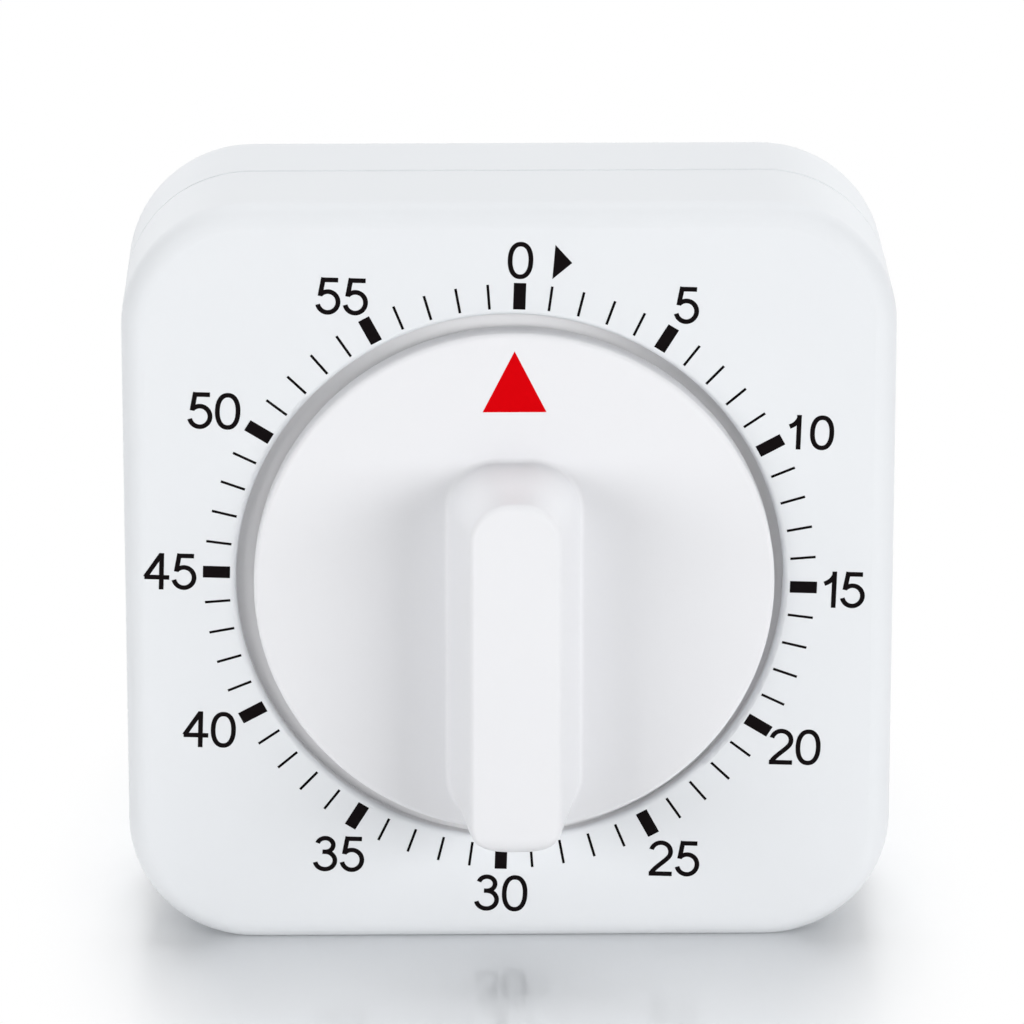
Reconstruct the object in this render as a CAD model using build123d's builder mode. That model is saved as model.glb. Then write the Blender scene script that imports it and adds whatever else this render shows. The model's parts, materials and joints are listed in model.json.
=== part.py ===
from build123d import *

import os
from math import acos, asin, atan2, cos, degrees, hypot, radians, sin, sqrt

# A mechanical kitchen timer: a square moulded case in two halves, a dial with a bar grip, and a spring-driven
# movement between two plates that strikes a bell. X runs to the right, Y to the back and Z up. The origin is
# on the flat base, under the middle of the case. Sizes are in millimetres, angles in degrees, and depths are
# measured back from the front face of the case. Places in the movement are (x, z) from the dial axis.

# Case
case_width = 68.0
case_height = 68.0
case_depth = 27.0
corner_radius = 11.2
front_round = 2.0
rear_round = 5.0
wall = 2.0
seam_depth = 12.7
seam_chamfer = 0.25
lip_height = 1.6
lip_wall = 0.9

# Dial
dial_radius = 22.95
dial_gap = 1.22
dial_proud = 1.75
dial_web = 1.8
dial_wall = 1.8
dial_skirt = 2.5
dial_float = 0.6
dial_edge_round = 0.45
hub_radius = 4.2
hub_float = 0.6

# Bar grip on the dial
bar_height = 10.55
bar_foot_width = 11.6
bar_foot_corner = 3.0
bar_crest_width = 8.0
bar_crest_corner = 2.6
bar_top = 10.5
bar_end_inset = 0.95
bar_foot_end_corner = 4.4
bar_crest_end_corner = 3.1
bar_edge_round = 0.6
bar_root_round = 0.4
bar_wall = 1.8
bar_inner_corner = 0.5

# Dial well in the front housing
well_wall = 1.6
well_floor = 2.0
well_edge_round = 0.5
seat_boss_radius = 2.6
seat_boss_height = 0.8

# Stop between dial and well
stop_angle = 2.9
stop_clear_angle = 0.1
stop_length = 2.0

# Case screws
case_screw_inset = 9.5
case_screw_radius = 1.1
case_screw_head_radius = 2.2
case_screw_head = 1.6
case_screw_ledge = 2.5
case_screw_bite = 7.0
screw_boss_wall = 1.0

# Magnets in the back
magnet_radius = 5.0
magnet_thickness = 2.5
magnet_margin = 1.0
magnet_sink = 0.2
pocket_wall = 1.2

# Sound slots in the back
slot_count = 5
slot_length = 18.0
slot_width = 1.8
slot_pitch = 4.0

# Movement frame
plate_thickness = 0.9
plate_margin = 1.2
pillar_radius = 1.5
pillar_tenon_radius = 0.9
pillar_offset = 2.4
pillar_angles = (102, 215, 318)
nut_flats = 3.6
nut_thickness = 1.2
bush_wall = 1.1
bush_flange = 0.8
bush_flange_thickness = 0.4
movement_screw_radius = 1.0
movement_screw_head_radius = 1.9
movement_screw_head = 1.0
movement_screw_reach = 14.0
movement_screw_angles = (90, 210, 330)
movement_screw_point = 0.4

# Main arbor, mainspring and clutch
main_radius = 2.5
main_flat = 0.6
main_front_reach = 6.5
main_pivot_radius = 1.6
main_core_radius = 3.2
collar_radius = 4.0
collar_length = 0.4
spring_thickness = 0.3
spring_width = 3.4
spring_turns = 5
spring_pitch = 1.4
spring_end_angle = 250.0
spring_post_radius = 0.8
clutch_thickness = 0.35
clutch_radius = 6.0
clutch_arm = 2.2

# Wheel train, from the dial axis to the escapement
pinion_leaves = 8
great_teeth = 60
great_module = 0.4
great_thickness = 0.9
second_teeth = 56
second_module = 0.3
second_angle = 62.0
third_teeth = 48
third_module = 0.3
train_thickness = 0.6
pinion_overhang = 0.4
wheel_rim = 2.0
window_margin = 0.5
arbor_radius = 0.65
pivot_radius = 0.45
collet_radius = 1.3
collet_length = 0.3
escape_teeth = 20
escape_radius = 4.6
escape_tooth_depth = 1.2
escape_lean = 0.7
pallet_hub_radius = 1.4
pallet_nib_angle = 50.0
pallet_rock = 4.0
pallet_arm = 1.0
balance_radius = 5.0
balance_rim = 1.1
balance_thickness = 1.0

# Bell and hammer
bell_radius = 16.0
bell_rise = 3.4
bell_skirt = 1.6
bell_wall = 0.8
bell_offset = 7.2
bell_angle = 30.0
bell_post_radius = 2.0
bell_stud_radius = 1.3
bell_nut_flats = 4.6
bell_nut_thickness = 1.3
hammer_reach = 17.0
hammer_angle = 173.0
hammer_radius = 0.9
hammer_hub_radius = 2.0
hammer_arm_width = 1.8
hammer_arm_thickness = 0.6
hammer_head_radius = 2.0
hammer_head_height = 1.3
hammer_head_angle = 120.0
hammer_head_gap = 0.5
hammer_tail_width = 1.6
hammer_tail_spare = 1.0
cam_radius = 5.0
cam_drop = 1.6
cam_thickness = 0.8
leaf_thickness = 0.25
leaf_contact = 9.0

# Clearances
fit_gap = 0.1
press_gap = 0.01
run_gap = 0.04
end_shake = 0.15
layer_gap = 0.35
wheel_gap = 0.5
swing_gap = 0.3

# Tooth form of clock wheels and pinions, as shares of the module
wheel_addendum = 1.25
wheel_dedendum = 1.57
wheel_tooth = 1.57
wheel_tip_bulge = 0.1
wheel_tip_fullness = 0.67
leaf_addendum = 0.67
leaf_dedendum = 1.65
leaf_tooth = 1.05

# Places on the case
face_y = -case_depth / 2
axis_height = case_height / 2


def layer(depth, place=(0, 0), turn=0.0):
    # A plane at this depth behind the face, seen from the front, its origin over a place in the movement.
    along = (cos(radians(turn)), 0, sin(radians(turn)))
    origin = (place[0], face_y + depth, axis_height + place[1])
    return Plane(origin=origin, x_dir=along, z_dir=(0, -1, 0))


def polar(radius, angle):
    return (radius * cos(radians(angle)), radius * sin(radians(angle)))


def swing(reach_a, reach_b, distance):
    # The angle at the dial axis between two arbors at these reaches and this distance apart.
    return degrees(acos((reach_a**2 + reach_b**2 - distance**2) / (2 * reach_a * reach_b)))


class WheelOutline(BaseSketchObject):
    # A clock wheel: radial flanks below the pitch circle and ogive tips above it, one tooth at angle toward.
    def __init__(self, teeth, module, toward, mode=Mode.ADD):
        pitch_radius = teeth * module / 2
        tip = pitch_radius + wheel_addendum * module
        root = pitch_radius - wheel_dedendum * module
        half = degrees(wheel_tooth * module / 2 / pitch_radius)
        bulge = pitch_radius + (wheel_addendum / 2 + wheel_tip_bulge) * module
        step = 360 / teeth
        with BuildSketch() as outline:
            with BuildLine():
                for tooth in range(teeth):
                    middle = toward + tooth * step
                    Line(polar(root, middle - half), polar(pitch_radius, middle - half))
                    ThreePointArc(
                        polar(pitch_radius, middle - half),
                        polar(bulge, middle - half * wheel_tip_fullness),
                        polar(tip, middle),
                    )
                    ThreePointArc(
                        polar(tip, middle),
                        polar(bulge, middle + half * wheel_tip_fullness),
                        polar(pitch_radius, middle + half),
                    )
                    Line(polar(pitch_radius, middle + half), polar(root, middle + half))
                    Line(polar(root, middle + half), polar(root, middle + step - half))
            make_face()
        super().__init__(outline.face(), 0, None, mode)


class PinionOutline(BaseSketchObject):
    # A clock pinion: radial leaves with round tips, one gap at angle toward.
    def __init__(self, leaves, module, toward, mode=Mode.ADD):
        pitch_radius = leaves * module / 2
        tip = pitch_radius + leaf_addendum * module
        root = pitch_radius - leaf_dedendum * module
        half = degrees(leaf_tooth * module / 2 / pitch_radius)
        step = 360 / leaves
        with BuildSketch() as outline:
            with BuildLine():
                for leaf in range(leaves):
                    middle = toward + (leaf + 0.5) * step
                    Line(polar(root, middle - half), polar(pitch_radius, middle - half))
                    ThreePointArc(
                        polar(pitch_radius, middle - half),
                        polar(tip, middle),
                        polar(pitch_radius, middle + half),
                    )
                    Line(polar(pitch_radius, middle + half), polar(root, middle + half))
                    ThreePointArc(
                        polar(root, middle + half),
                        polar(root, middle + step / 2),
                        polar(root, middle + step - half),
                    )
            make_face()
        super().__init__(outline.face(), 0, None, mode)


class StopSector(BaseSketchObject):
    # A short radial block between two radii, as wide as the stop, centred on an angle.
    def __init__(self, inner, outer, middle, mode=Mode.ADD):
        low = middle - stop_angle / 2
        high = middle + stop_angle / 2
        with BuildSketch() as outline:
            with BuildLine():
                Polyline(
                    polar(inner, low), polar(outer, low), polar(outer, high), polar(inner, high), close=True
                )
            make_face()
        super().__init__(outline.face(), 0, None, mode)


class BarOutline(BaseSketchObject):
    # The bar grip cut level at a height above the dial. Its sides lean in towards the crest, its upper end
    # stands straight with round corners, and its lower end follows the dial's rim.
    def __init__(self, height, inset=0.0, mode=Mode.ADD):
        share = height / bar_height
        width = bar_foot_width + (bar_crest_width - bar_foot_width) * share - 2 * inset
        corner = bar_foot_corner + (bar_crest_corner - bar_foot_corner) * share - inset
        end_corner = bar_foot_end_corner + (bar_crest_end_corner - bar_foot_end_corner) * share - inset
        top = bar_top - inset
        with BuildSketch() as outline:
            with Locations((0, (top - dial_radius) / 2)):
                Rectangle(width, top + dial_radius)
            Circle(dial_radius - bar_end_inset - inset, mode=Mode.INTERSECT)
            fillet(outline.vertices().group_by(Axis.Y)[-1], max(corner, bar_inner_corner))
            fillet(outline.vertices().group_by(Axis.Y)[0], max(end_corner, bar_inner_corner))
        super().__init__(outline.face(), 0, None, mode)


# Depths of the dial and the well
dial_front = -dial_proud
dial_web_back = dial_front + dial_web
dial_back = dial_front + dial_skirt
well_radius = dial_radius + dial_gap
well_depth = dial_back + dial_float
floor_back = well_depth + well_floor
hub_back = well_depth - hub_float
skirt_inner = dial_radius - dial_wall
stop_inner = skirt_inner - stop_length
dial_travel = 360 - 2 * (stop_angle + stop_clear_angle)

# Depths of the movement's layers, from the front plate to the bell
plate_front = floor_back + seat_boss_height
plate_back = plate_front + plate_thickness
spring_front = plate_back + bush_flange_thickness + swing_gap
spring_back = spring_front + spring_width
clutch_front = spring_back + swing_gap
great_front = clutch_front + clutch_thickness
great_back = great_front + great_thickness
collar_back = great_back + collar_length
second_front = collar_back + layer_gap
second_back = second_front + train_thickness
cam_front = second_back + layer_gap
cam_back = cam_front + cam_thickness
rear_plate_front = cam_back + bush_flange_thickness + layer_gap
rear_plate_back = rear_plate_front + plate_thickness
core_front = plate_back + bush_flange_thickness + end_shake
main_shoulder = rear_plate_front - bush_flange_thickness - end_shake
third_front = plate_back + end_shake + pinion_overhang + layer_gap
third_back = third_front + train_thickness
escape_front = third_back + pinion_overhang + layer_gap
escape_back = escape_front + train_thickness
balance_front = escape_back + wheel_gap
balance_back = balance_front + balance_thickness
arm_front = rear_plate_back + swing_gap
arm_back = arm_front + hammer_arm_thickness
head_back = arm_back + hammer_head_height
bell_rim = arm_back + swing_gap
bell_shoulder = bell_rim + bell_skirt
bell_crown = bell_shoulder + bell_rise

# Radii and places of the wheels and arbors
great_tip = (great_teeth / 2 + wheel_addendum) * great_module
second_tip = (second_teeth / 2 + wheel_addendum) * second_module
third_tip = (third_teeth / 2 + wheel_addendum) * third_module
spring_start = main_core_radius + spring_thickness / 2 + press_gap
spring_end = spring_start + spring_turns * spring_pitch
spring_eye = spring_post_radius + spring_thickness / 2 + press_gap
second_reach = (great_teeth + pinion_leaves) / 2 * great_module
third_reach = spring_end + spring_thickness / 2 + third_tip + wheel_gap
escape_reach = great_tip + escape_radius + wheel_gap
pallet_reach = great_tip + balance_radius + wheel_gap
third_step = (second_teeth + pinion_leaves) / 2 * second_module
escape_step = (third_teeth + pinion_leaves) / 2 * third_module
pallet_step = escape_radius + pallet_hub_radius + swing_gap
third_angle = second_angle - swing(second_reach, third_reach, third_step)
escape_angle = third_angle - swing(third_reach, escape_reach, escape_step)
pallet_angle = escape_angle - swing(escape_reach, pallet_reach, pallet_step)
second_place = polar(second_reach, second_angle)
third_place = polar(third_reach, third_angle)
escape_place = polar(escape_reach, escape_angle)
pallet_place = polar(pallet_reach, pallet_angle)
hammer_place = polar(hammer_reach, hammer_angle)
bell_place = polar(bell_offset, bell_angle)
post_place = polar(spring_end + spring_eye, spring_end_angle)
pillar_reach = third_reach + pillar_offset
pillar_places = [polar(pillar_reach, angle) for angle in pillar_angles]
screw_places = [polar(movement_screw_reach, angle) for angle in movement_screw_angles]
plate_radius = pillar_reach + pillar_radius + plate_margin


def bearing(start, end):
    return degrees(atan2(end[1] - start[1], end[0] - start[0]))


third_bearing = bearing(second_place, third_place)
escape_bearing = bearing(third_place, escape_place)
pallet_bearing = bearing(escape_place, pallet_place)

# Places on the case shell
screw_x = case_width / 2 - case_screw_inset
screw_z = case_height / 2 - case_screw_inset
screw_boss_radius = case_screw_head_radius + fit_gap + screw_boss_wall
screw_ledge_back = seam_depth + case_screw_ledge
magnet_x = case_width / 2 - rear_round - magnet_radius - magnet_margin
magnet_front = case_depth - magnet_sink - magnet_thickness

# The front half of the case, with the dial well, its stop peg, the movement's seats and the screw bosses
with BuildPart() as front_housing:
    with BuildSketch(layer(seam_depth)):
        RectangleRounded(case_width, case_height, corner_radius)
    extrude(amount=seam_depth)
    fillet(front_housing.faces().sort_by(Axis.Y)[0].edges(), front_round)
    chamfer(front_housing.faces().sort_by(Axis.Y)[-1].edges(), seam_chamfer)
    with BuildSketch(layer(seam_depth)):
        RectangleRounded(case_width - 2 * wall, case_height - 2 * wall, corner_radius - wall)
    extrude(amount=seam_depth - wall, mode=Mode.SUBTRACT)
    rebate = wall - lip_wall - fit_gap
    with BuildSketch(layer(seam_depth)):
        RectangleRounded(case_width - 2 * rebate, case_height - 2 * rebate, corner_radius - rebate)
    extrude(amount=lip_height + fit_gap, mode=Mode.SUBTRACT)
    with BuildSketch(layer(floor_back)):
        Circle(well_radius + well_wall)
    extrude(amount=floor_back - wall)
    with BuildSketch(layer(plate_front)):
        with Locations(*screw_places):
            Circle(seat_boss_radius)
    extrude(amount=seat_boss_height)
    with BuildSketch(layer(seam_depth)):
        with GridLocations(2 * screw_x, 2 * screw_z, 2, 2):
            Circle(screw_boss_radius)
    extrude(amount=seam_depth - wall)
    with BuildSketch(layer(well_depth)):
        Circle(well_radius)
    extrude(amount=well_depth, mode=Mode.SUBTRACT)
    well_edge = front_housing.faces().sort_by(Axis.Y)[0].inner_wires().edges()
    fillet(well_edge, well_edge_round)
    with BuildSketch(layer(plate_front)):
        Circle(main_radius + wheel_gap)
        with Locations(*screw_places):
            Circle(movement_screw_radius + fit_gap)
    extrude(amount=plate_front, mode=Mode.SUBTRACT)
    with BuildSketch(layer(seam_depth)):
        with GridLocations(2 * screw_x, 2 * screw_z, 2, 2):
            Circle(case_screw_radius + press_gap)
    extrude(amount=case_screw_bite + fit_gap, mode=Mode.SUBTRACT)
    with BuildSketch(layer(well_depth)):
        StopSector(stop_inner, skirt_inner - swing_gap, 90)
    extrude(amount=well_depth - dial_web_back - swing_gap)

# The rear half of the case, with its tongue, screw tubes, magnet pockets and sound slots
with BuildPart() as rear_cover:
    with BuildSketch(layer(case_depth)):
        RectangleRounded(case_width, case_height, corner_radius)
    extrude(amount=case_depth - seam_depth)
    fillet(rear_cover.faces().sort_by(Axis.Y)[-1].edges(), rear_round)
    chamfer(rear_cover.faces().sort_by(Axis.Y)[0].edges(), seam_chamfer)
    offset(amount=-wall, openings=rear_cover.faces().sort_by(Axis.Y)[0])
    with BuildSketch(layer(seam_depth)):
        tongue = wall - lip_wall
        RectangleRounded(case_width - 2 * tongue, case_height - 2 * tongue, corner_radius - tongue)
        RectangleRounded(
            case_width - 2 * wall, case_height - 2 * wall, corner_radius - wall, mode=Mode.SUBTRACT
        )
    extrude(amount=lip_height)
    with BuildSketch(layer(seam_depth + fit_gap)):
        with GridLocations(2 * screw_x, 2 * screw_z, 2, 2):
            Circle(screw_boss_radius)
    extrude(amount=-(case_depth - seam_depth - fit_gap - wall / 2))
    with BuildSketch(layer(magnet_front - pocket_wall)):
        with GridLocations(2 * magnet_x, 0, 2, 1):
            Circle(magnet_radius + fit_gap + pocket_wall)
    extrude(amount=-(case_depth - wall / 2 - magnet_front + pocket_wall))
    with BuildSketch(layer(seam_depth)):
        with GridLocations(2 * screw_x, 2 * screw_z, 2, 2):
            Circle(case_screw_radius + fit_gap)
    extrude(amount=-(case_depth - seam_depth), mode=Mode.SUBTRACT)
    with BuildSketch(layer(case_depth)):
        with GridLocations(2 * screw_x, 2 * screw_z, 2, 2):
            Circle(case_screw_head_radius + fit_gap)
    extrude(amount=case_depth - screw_ledge_back, mode=Mode.SUBTRACT)
    with BuildSketch(layer(case_depth)):
        with GridLocations(2 * magnet_x, 0, 2, 1):
            Circle(magnet_radius + press_gap)
    extrude(amount=case_depth - magnet_front, mode=Mode.SUBTRACT)
    with BuildSketch(layer(case_depth)):
        with GridLocations(slot_pitch, 0, slot_count, 1):
            SlotOverall(slot_length, slot_width, rotation=90)
    extrude(amount=wall + fit_gap, mode=Mode.SUBTRACT)

# Four screws from the back that close the case
with BuildPart() as case_screws:
    with BuildSketch(layer(screw_ledge_back)):
        with GridLocations(2 * screw_x, 2 * screw_z, 2, 2):
            Circle(case_screw_radius)
    extrude(amount=case_screw_ledge + case_screw_bite)
    with BuildSketch(layer(screw_ledge_back)):
        with GridLocations(2 * screw_x, 2 * screw_z, 2, 2):
            Circle(case_screw_head_radius)
    extrude(amount=-case_screw_head)

# Two disc magnets pressed into the back
with BuildPart() as magnets:
    with BuildSketch(layer(magnet_front + magnet_thickness)):
        with GridLocations(2 * magnet_x, 0, 2, 1):
            Circle(magnet_radius)
    extrude(amount=magnet_thickness)

# The dial: a shallow cap with a hollow tapered bar, a D-bored hub and a stop rib inside the skirt
with BuildPart() as dial_knob:
    with BuildSketch(layer(dial_back)):
        Circle(dial_radius)
    extrude(amount=dial_skirt)
    fillet(dial_knob.faces().sort_by(Axis.Y)[0].edges(), dial_edge_round)
    with BuildSketch(layer(dial_front + dial_edge_round)):
        BarOutline(0)
    extrude(amount=dial_edge_round)
    for height in (0, bar_height):
        with BuildSketch(layer(dial_front - height)):
            BarOutline(height)
    loft(ruled=True)
    dial_flat = dial_knob.faces().filter_by(Axis.Y).group_by(Axis.Y)[1][0]
    fillet(dial_flat.inner_wires().edges(), bar_root_round)
    fillet(dial_knob.faces().sort_by(Axis.Y)[0].edges(), bar_edge_round)
    with BuildSketch(layer(dial_back)):
        Circle(skirt_inner)
    extrude(amount=dial_skirt - dial_web, mode=Mode.SUBTRACT)
    for height in (-dial_web, bar_height - bar_wall):
        with BuildSketch(layer(dial_front - height)):
            BarOutline(height, bar_wall)
    loft(ruled=True, mode=Mode.SUBTRACT)
    with BuildSketch(layer(hub_back)):
        Circle(hub_radius)
    extrude(amount=hub_back + main_front_reach + bar_wall)
    with BuildSketch(layer(hub_back)):
        Circle(main_radius + press_gap)
        with Locations((0, main_radius - main_flat + press_gap)):
            Rectangle(2 * hub_radius, hub_radius, align=(Align.CENTER, Align.MIN), mode=Mode.SUBTRACT)
    extrude(amount=hub_back + main_front_reach, mode=Mode.SUBTRACT)
    with BuildSketch(layer(dial_back)):
        StopSector(stop_inner, skirt_inner + dial_wall / 2, 90 - stop_angle - stop_clear_angle)
    extrude(amount=dial_skirt - dial_web)

# The shaft that the dial turns: flatted in the knob, with a thicker core for the mainspring
with BuildPart() as main_arbor:
    with BuildSketch(layer(main_shoulder)):
        Circle(main_radius)
    extrude(amount=main_shoulder + main_front_reach)
    with BuildSketch(layer(hub_back)):
        with Locations((0, main_radius - main_flat)):
            Rectangle(2 * main_radius, main_radius, align=(Align.CENTER, Align.MIN))
    extrude(amount=hub_back + main_front_reach, mode=Mode.SUBTRACT)
    with BuildSketch(layer(clutch_front)):
        Circle(main_core_radius)
    extrude(amount=clutch_front - core_front)
    with BuildSketch(layer(rear_plate_back)):
        Circle(main_pivot_radius)
    extrude(amount=rear_plate_back - main_shoulder)

# Front plate of the movement, with a hole for every arbor, pillar, post, bush and screw
pivot_places = [second_place, third_place, escape_place, pallet_place]
with BuildPart() as front_plate:
    with BuildSketch(layer(plate_back)):
        Circle(plate_radius)
        Circle(main_radius + bush_wall + press_gap, mode=Mode.SUBTRACT)
        with Locations(*pivot_places):
            Circle(pivot_radius + run_gap, mode=Mode.SUBTRACT)
        with Locations(hammer_place):
            Circle(hammer_radius + run_gap, mode=Mode.SUBTRACT)
        with Locations(*pillar_places):
            Circle(pillar_tenon_radius + press_gap, mode=Mode.SUBTRACT)
        with Locations(*screw_places):
            Circle(movement_screw_radius + press_gap, mode=Mode.SUBTRACT)
        with Locations(post_place):
            Circle(spring_post_radius + press_gap, mode=Mode.SUBTRACT)
    extrude(amount=plate_thickness)

# Rear plate of the movement, which also carries the bell
with BuildPart() as rear_plate:
    with BuildSketch(layer(rear_plate_back)):
        Circle(plate_radius)
        Circle(main_pivot_radius + bush_wall + press_gap, mode=Mode.SUBTRACT)
        with Locations(*pivot_places):
            Circle(pivot_radius + run_gap, mode=Mode.SUBTRACT)
        with Locations(hammer_place):
            Circle(hammer_radius + run_gap, mode=Mode.SUBTRACT)
        with Locations(*pillar_places):
            Circle(pillar_tenon_radius + press_gap, mode=Mode.SUBTRACT)
        with Locations(bell_place):
            Circle(bell_stud_radius + press_gap, mode=Mode.SUBTRACT)
    extrude(amount=plate_thickness)

# Three pillars riveted to the front plate, with a threaded end through the rear plate
with BuildPart() as pillars:
    with BuildSketch(layer(rear_plate_front)):
        with Locations(*pillar_places):
            Circle(pillar_radius)
    extrude(amount=rear_plate_front - plate_back)
    with BuildSketch(layer(rear_plate_back + nut_thickness)):
        with Locations(*pillar_places):
            Circle(pillar_tenon_radius)
    extrude(amount=rear_plate_back + nut_thickness - plate_front)

with BuildPart() as pillar_nuts:
    with BuildSketch(layer(rear_plate_back + nut_thickness)):
        with Locations(*pillar_places):
            RegularPolygon(nut_flats / 2, 6, major_radius=False)
            Circle(pillar_tenon_radius + press_gap, mode=Mode.SUBTRACT)
    extrude(amount=nut_thickness)

# Screws under the dial that hold the movement in the front housing
with BuildPart() as movement_screws:
    with BuildSketch(layer(plate_back + movement_screw_point)):
        with Locations(*screw_places):
            Circle(movement_screw_radius)
    extrude(amount=plate_back + movement_screw_point - well_depth)
    with BuildSketch(layer(well_depth)):
        with Locations(*screw_places):
            Circle(movement_screw_head_radius)
    extrude(amount=movement_screw_head)

# Flanged brass bearings of the main arbor
with BuildPart() as front_bush:
    with BuildSketch(layer(plate_back)):
        Circle(main_radius + bush_wall)
    extrude(amount=plate_thickness)
    with BuildSketch(layer(plate_back + bush_flange_thickness)):
        Circle(main_radius + bush_wall + bush_flange)
    extrude(amount=bush_flange_thickness)
    with BuildSketch(layer(plate_back + bush_flange_thickness)):
        Circle(main_radius + run_gap)
    extrude(amount=plate_thickness + bush_flange_thickness, mode=Mode.SUBTRACT)

with BuildPart() as rear_bush:
    with BuildSketch(layer(rear_plate_back)):
        Circle(main_pivot_radius + bush_wall)
    extrude(amount=plate_thickness)
    with BuildSketch(layer(rear_plate_front)):
        Circle(main_pivot_radius + bush_wall + bush_flange)
    extrude(amount=bush_flange_thickness)
    with BuildSketch(layer(rear_plate_back)):
        Circle(main_pivot_radius + run_gap)
    extrude(amount=plate_thickness + bush_flange_thickness, mode=Mode.SUBTRACT)

# The mainspring: a strip wound in half turns on two alternating centres, hooked round its post outside
with BuildPart() as mainspring:
    half_strip = spring_thickness / 2
    half_turns = 2 * spring_turns
    with BuildSketch(layer(spring_back, turn=spring_end_angle)):
        with BuildLine():
            for side in (half_strip, -half_strip):
                for turn in range(half_turns):
                    radius = spring_start + turn * spring_pitch / 2
                    sign = 1 if turn % 2 == 0 else -1
                    centre = 0 if turn % 2 == 0 else spring_pitch / 2
                    reach = sign * (radius + side)
                    ThreePointArc((centre + reach, 0), (centre, reach), (centre - reach, 0))
                eye_radius = spring_eye - side
                eye = spring_end + spring_eye
                ThreePointArc((eye - eye_radius, 0), (eye, eye_radius), (eye + eye_radius, 0))
            Line((spring_start - half_strip, 0), (spring_start + half_strip, 0))
            Line((eye + spring_eye - half_strip, 0), (eye + spring_eye + half_strip, 0))
        make_face()
    extrude(amount=spring_width)

with BuildPart() as spring_post:
    with BuildSketch(layer(spring_back, post_place)):
        Circle(spring_post_radius)
    extrude(amount=spring_back - plate_front)

# First wheel of the train, on the main arbor, and the spring washer that grips it
with BuildPart() as great_wheel:
    web_radius = (great_teeth / 2 - wheel_dedendum) * great_module - wheel_rim
    window_reach = (web_radius + collar_radius) / 2
    window_radius = (web_radius - collar_radius) / 2 - window_margin
    with BuildSketch(layer(great_back)):
        WheelOutline(great_teeth, great_module, second_angle)
        Circle(main_radius + press_gap, mode=Mode.SUBTRACT)
        with PolarLocations(window_reach, 5):
            Circle(window_radius, mode=Mode.SUBTRACT)
    extrude(amount=great_thickness)

with BuildPart() as clutch_spring:
    with BuildSketch(layer(great_front)):
        Circle(collar_radius)
        with PolarLocations(0, 3):
            SlotCenterPoint((clutch_radius / 2, 0), (clutch_radius, 0), clutch_arm)
        Circle(main_radius + press_gap, mode=Mode.SUBTRACT)
    extrude(amount=clutch_thickness)

# Ring pressed on the arbor behind the great wheel
with BuildPart() as wheel_collar:
    with BuildSketch(layer(collar_back)):
        Circle(collar_radius)
        Circle(main_radius + press_gap, mode=Mode.SUBTRACT)
    extrude(amount=collar_length)

# The cam that lifts the hammer's tail as the dial comes to zero: a disc with one snail lobe
with BuildPart() as lifting_cam:
    with BuildSketch(layer(cam_back)):
        with BuildLine():
            low = cam_radius - cam_drop
            Line(polar(low, -90), polar(cam_radius, -90))
            ThreePointArc(polar(cam_radius, -90), polar((cam_radius + low) / 2, -180), polar(low, -270))
            ThreePointArc(polar(low, -270), polar(low, 0), polar(low, -90))
        make_face()
        Circle(main_radius + press_gap, mode=Mode.SUBTRACT)
    extrude(amount=cam_thickness)

# Arbors of the train with their pinions: shank between the plates, thin pivots, and a collet by the wheel
with BuildPart() as second_arbor:
    with BuildSketch(layer(rear_plate_back, second_place)):
        Circle(pivot_radius)
    extrude(amount=rear_plate_back - plate_front)
    with BuildSketch(layer(rear_plate_front - end_shake, second_place)):
        Circle(arbor_radius)
    extrude(amount=rear_plate_front - plate_back - 2 * end_shake)
    with BuildSketch(layer(collar_back, second_place)):
        PinionOutline(pinion_leaves, great_module, second_angle + 180)
    extrude(amount=collar_back - great_front + pinion_overhang)
    with BuildSketch(layer(second_front, second_place)):
        Circle(collet_radius)
    extrude(amount=second_front - collar_back)

with BuildPart() as second_wheel:
    with BuildSketch(layer(second_back, second_place)):
        WheelOutline(second_teeth, second_module, third_bearing)
        Circle(arbor_radius + press_gap, mode=Mode.SUBTRACT)
        with PolarLocations(second_tip / 2, 4):
            Circle(second_tip / 2 - wheel_rim, mode=Mode.SUBTRACT)
    extrude(amount=train_thickness)

with BuildPart() as third_arbor:
    with BuildSketch(layer(rear_plate_back, third_place)):
        Circle(pivot_radius)
    extrude(amount=rear_plate_back - plate_front)
    with BuildSketch(layer(rear_plate_front - end_shake, third_place)):
        Circle(arbor_radius)
    extrude(amount=rear_plate_front - plate_back - 2 * end_shake)
    with BuildSketch(layer(second_back + pinion_overhang / 2, third_place)):
        PinionOutline(pinion_leaves, second_module, third_bearing + 180)
    extrude(amount=train_thickness + pinion_overhang)
    with BuildSketch(layer(third_back + collet_length, third_place)):
        Circle(collet_radius)
    extrude(amount=collet_length)

with BuildPart() as third_wheel:
    with BuildSketch(layer(third_back, third_place)):
        WheelOutline(third_teeth, third_module, escape_bearing)
        Circle(arbor_radius + press_gap, mode=Mode.SUBTRACT)
        with PolarLocations(third_tip / 2, 4):
            Circle(third_tip / 2 - wheel_rim, mode=Mode.SUBTRACT)
    extrude(amount=train_thickness)

with BuildPart() as escape_arbor:
    with BuildSketch(layer(rear_plate_back, escape_place)):
        Circle(pivot_radius)
    extrude(amount=rear_plate_back - plate_front)
    with BuildSketch(layer(rear_plate_front - end_shake, escape_place)):
        Circle(arbor_radius)
    extrude(amount=rear_plate_front - plate_back - 2 * end_shake)
    with BuildSketch(layer(third_back + pinion_overhang / 2, escape_place)):
        PinionOutline(pinion_leaves, third_module, escape_bearing + 180)
    extrude(amount=train_thickness + pinion_overhang)
    with BuildSketch(layer(escape_back + collet_length, escape_place)):
        Circle(collet_radius)
    extrude(amount=collet_length)

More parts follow.
